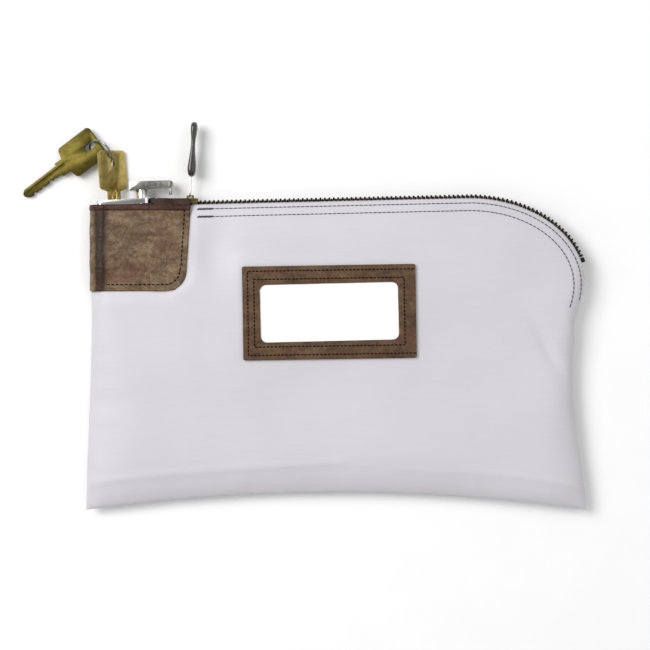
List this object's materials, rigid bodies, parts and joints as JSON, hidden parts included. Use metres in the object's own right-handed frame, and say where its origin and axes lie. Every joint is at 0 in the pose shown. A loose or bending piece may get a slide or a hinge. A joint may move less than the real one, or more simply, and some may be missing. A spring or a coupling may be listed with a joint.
{
  "type": "cash deposit bag",
  "caption": "Zipped cash deposit bag with a rounded mouth, a card window and a key lock with a pop-up latch in a leather corner pouch.",
  "frame": {"origin": "middle of the flat back that the bag lies on", "axes": "+X along the zip away from the lock, +Y from the bottom seam towards the mouth, +Z out of the front face"},
  "size_m": [0.3152, 0.2165, 0.0192],
  "materials": {
    "nylon": "smooth laminated nylon, low sheen",
    "tape": "woven zip tape",
    "teeth": "dark antique metal",
    "slider_metal": "worn antique gold",
    "chrome": "polished chrome plate",
    "pull_plastic": "moulded dark brown",
    "pouch_leather": "creased brown leatherette",
    "frame_leather": "grained brown leatherette",
    "card": "plain white card",
    "clear_vinyl": "clear vinyl film",
    "zinc": "dark die-cast metal",
    "steel": "plain steel",
    "brass": "stamped brass, lightly worn"
  },
  "bodies": {
    "bag": {"front_panel": "nylon", "back_panel": "nylon", "zip_tape_front": "tape", "zip_tape_back": "tape", "zip_teeth_front": "teeth", "zip_teeth_back": "teeth", "zip_end_stop": "teeth", "lock_pouch": "pouch_leather", "window_frame": "frame_leather", "name_card": "card", "window_film": "clear_vinyl", "lock_case": "zinc", "lock_cap": "chrome", "lock_base_plate": "steel", "base_screw_1": "steel", "base_screw_2": "steel", "driver_pin_1": "brass", "driver_pin_2": "brass", "driver_pin_3": "brass", "driver_pin_4": "brass", "driver_pin_5": "brass", "driver_pin_6": "brass", "driver_pin_7": "brass", "pin_spring_1": "steel", "pin_spring_2": "steel", "pin_spring_3": "steel", "pin_spring_4": "steel", "pin_spring_5": "steel", "pin_spring_6": "steel", "pin_spring_7": "steel", "latch_spring": "steel"},
    "slider": {"slider_body": "slider_metal", "slider_lower_plate": "slider_metal"},
    "pull": {"pull_link": "chrome", "pull_tab": "pull_plastic"},
    "latch": {"latch_post": "chrome", "latch_arm": "chrome", "latch_rivet": "chrome", "latch_hook_pin": "chrome"},
    "plug": {"key_plug": "brass", "key_pin_1": "brass", "key_pin_2": "brass", "key_pin_3": "brass", "key_pin_4": "brass", "key_pin_5": "brass", "key_pin_6": "brass", "key_pin_7": "brass"},
    "key": {"key_in_lock": "brass"},
    "bolt": {"lock_bolt": "steel"},
    "ring": {"split_ring": "steel"},
    "loose_key": {"loose_key": "brass"}
  },
  "joints": [
    {"name": "zip_slide", "type": "slide", "parent": "bag", "child": "slider", "axis": [0.9997, 0.0227, 0], "range_m": [0, 0.148]},
    {"name": "pull_swing", "type": "hinge", "parent": "slider", "child": "pull", "pos_m": [-0.0817, 0.08643, 0.0085], "axis": [0, 0, 1], "range_deg": [-80, 20]},
    {"name": "latch_press", "type": "slide", "parent": "bag", "child": "latch", "axis": [0.0699, -0.9976, 0], "range_m": [0, 0.0043], "stiffness_N_per_m": 200, "springref_m": -0.004, "deforming": ["latch_spring"]},
    {"name": "key_turn", "type": "hinge", "parent": "bag", "child": "plug", "pos_m": [-0.1239, 0.08459, 0.0085], "axis": [-0.0699, 0.9976, 0], "range_deg": [-50, 0]},
    {"name": "key_withdraw", "type": "slide", "parent": "plug", "child": "key", "axis": [-0.0699, 0.9976, 0], "range_m": [0, 0.03]},
    {"name": "bolt_slide", "type": "slide", "parent": "bag", "child": "bolt", "axis": [0.9976, 0.0699, 0], "range_m": [0, 0.0021]},
    {"name": "ring_carry", "type": "slide", "parent": "bag", "child": "ring", "axis": [-0.0699, 0.9976, 0], "range_m": [0, 0.03]},
    {"name": "loose_key_swing", "type": "hinge", "parent": "ring", "child": "loose_key", "pos_m": [-0.13786, 0.11503, 0.00428], "axis": [-0.6, 0.8, 0], "range_deg": [0, 15]}
  ],
  "couplings": [
    {"joint": "bolt_slide", "follows": "key_turn", "m_per_rad": -0.0022955},
    {"joint": "ring_carry", "follows": "key_withdraw", "ratio": 1}
  ]
}
